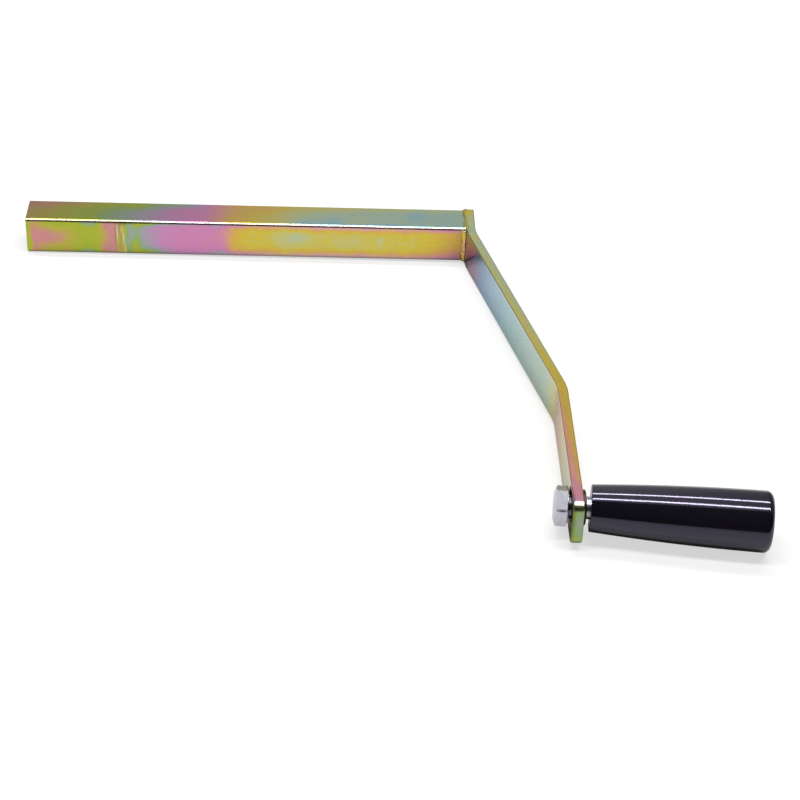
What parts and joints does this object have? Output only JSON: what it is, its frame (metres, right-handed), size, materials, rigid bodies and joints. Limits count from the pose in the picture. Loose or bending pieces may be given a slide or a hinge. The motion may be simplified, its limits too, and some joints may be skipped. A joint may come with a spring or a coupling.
{
  "type": "crank handle",
  "caption": "Square drive tube with a bent flat-bar arm welded across its end and a tapered revolving grip on a through bolt.",
  "frame": {"origin": "centre of the drive tube's open end, on the tube's axis", "axes": "+X along the tube towards the arm, the arm reaches out along -Y, +Z square to the flat of tube, arm and grip; the crank turns about X"},
  "size_m": [0.3526, 0.26, 0.0273],
  "materials": {
    "yellow_zinc_tube": "cold-formed steel tube, zinc plated, iridescent yellow passivation, satin",
    "yellow_zinc_bar": "flat steel bar, zinc plated, iridescent yellow passivation, satin",
    "yellow_zinc_weld": "weld metal under the same plating, rippled",
    "clear_zinc": "clear zinc plated steel, satin",
    "clear_zinc_washer": "clear zinc plated steel, darker stamped face",
    "black_phenolic": "moulded black phenolic, high gloss",
    "natural_nylon": "natural nylon"
  },
  "bodies": {
    "crank": {"drive_tube": "yellow_zinc_tube", "crank_arm": "yellow_zinc_bar", "weld_bead": "yellow_zinc_weld", "axle_bolt": "clear_zinc", "arm_washer": "clear_zinc_washer", "end_washer": "clear_zinc_washer", "lock_nut": "clear_zinc", "nut_insert": "natural_nylon"},
    "grip": {"grip": "black_phenolic"}
  },
  "joints": [
    {"name": "grip_spin", "type": "hinge", "parent": "crank", "child": "grip", "pos_m": [0.2665, -0.2275, 0], "axis": [0.9952, -0.0976, 0], "continuous": true}
  ]
}
